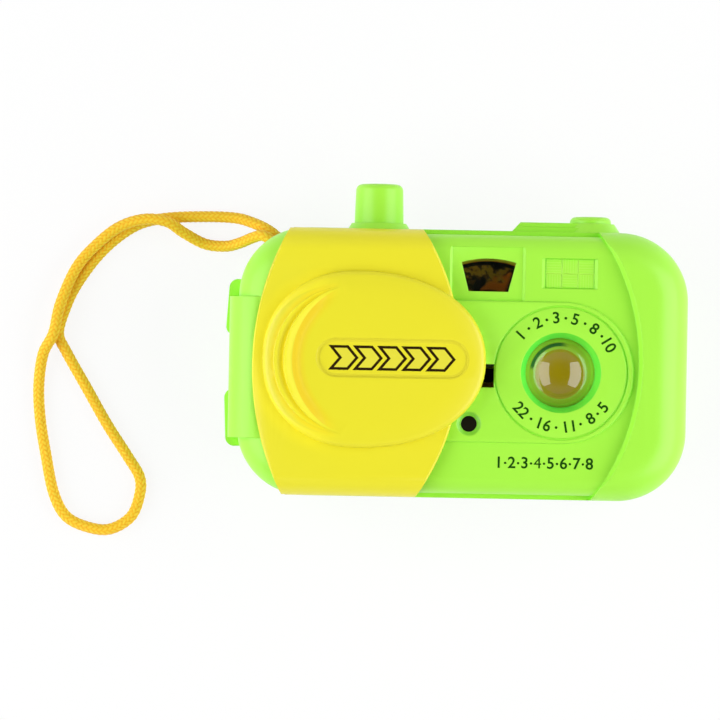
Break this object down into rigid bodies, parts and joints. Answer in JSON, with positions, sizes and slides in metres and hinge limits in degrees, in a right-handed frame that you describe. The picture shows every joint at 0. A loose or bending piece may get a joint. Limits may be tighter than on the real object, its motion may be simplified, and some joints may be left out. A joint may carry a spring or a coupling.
{
  "type": "toy camera",
  "caption": "Plastic toy viewer camera with a sliding lens cover, a spring plunger that steps a picture wheel, a clear lens dome and a braided wrist cord.",
  "frame": {"origin": "middle of the flat back face, on which the toy lies", "axes": "+X to the right seen from the front, +Y to the toy's top, +Z out of the front face"},
  "size_m": [0.154, 0.0843, 0.0348],
  "materials": {
    "green_plastic": "moulded, semi gloss",
    "yellow_plastic": "moulded, semi gloss",
    "clear_plastic": "clear, polished",
    "black_plastic": "matt",
    "film": "printed film",
    "steel": "zinc plated",
    "cord": "braided"
  },
  "bodies": {
    "body": {"front_shell": "green_plastic", "rear_shell": "green_plastic", "front_lens": "clear_plastic", "lens_backing": "yellow_plastic", "window_pane": "clear_plastic", "sensor_plug": "black_plastic", "return_spring": "steel", "wheel_screw": "steel", "wheel_washer": "steel", "light_tunnel": "black_plastic", "eyepiece_lens": "clear_plastic", "case_screws": "steel", "strap_cord": "cord", "strap_knot": "cord"},
    "cover": {"lens_cover": "yellow_plastic", "cover_clip": "yellow_plastic", "cover_screw": "steel"},
    "plunger": {"shutter_plunger": "green_plastic", "advance_pawl": "yellow_plastic"},
    "wheel": {"picture_wheel": "yellow_plastic", "picture_film": "film"}
  },
  "joints": [
    {"name": "cover_slide", "type": "slide", "parent": "body", "child": "cover", "axis": [1, 0, 0], "range_m": [0, 0.0262]},
    {"name": "plunger_press", "type": "slide", "parent": "body", "child": "plunger", "axis": [0, -1, 0], "range_m": [0, 0.00688], "stiffness_N_per_m": 250, "springref_m": -0.003, "deforming": ["return_spring"]},
    {"name": "wheel_turn", "type": "hinge", "parent": "body", "child": "wheel", "pos_m": [0.0065, 0.0036, 0.0196], "axis": [0, 0, 1], "range_deg": [0, 45]}
  ],
  "couplings": [
    {"joint": "wheel_turn", "follows": "plunger_press", "rad_per_m": 114.02}
  ]
}
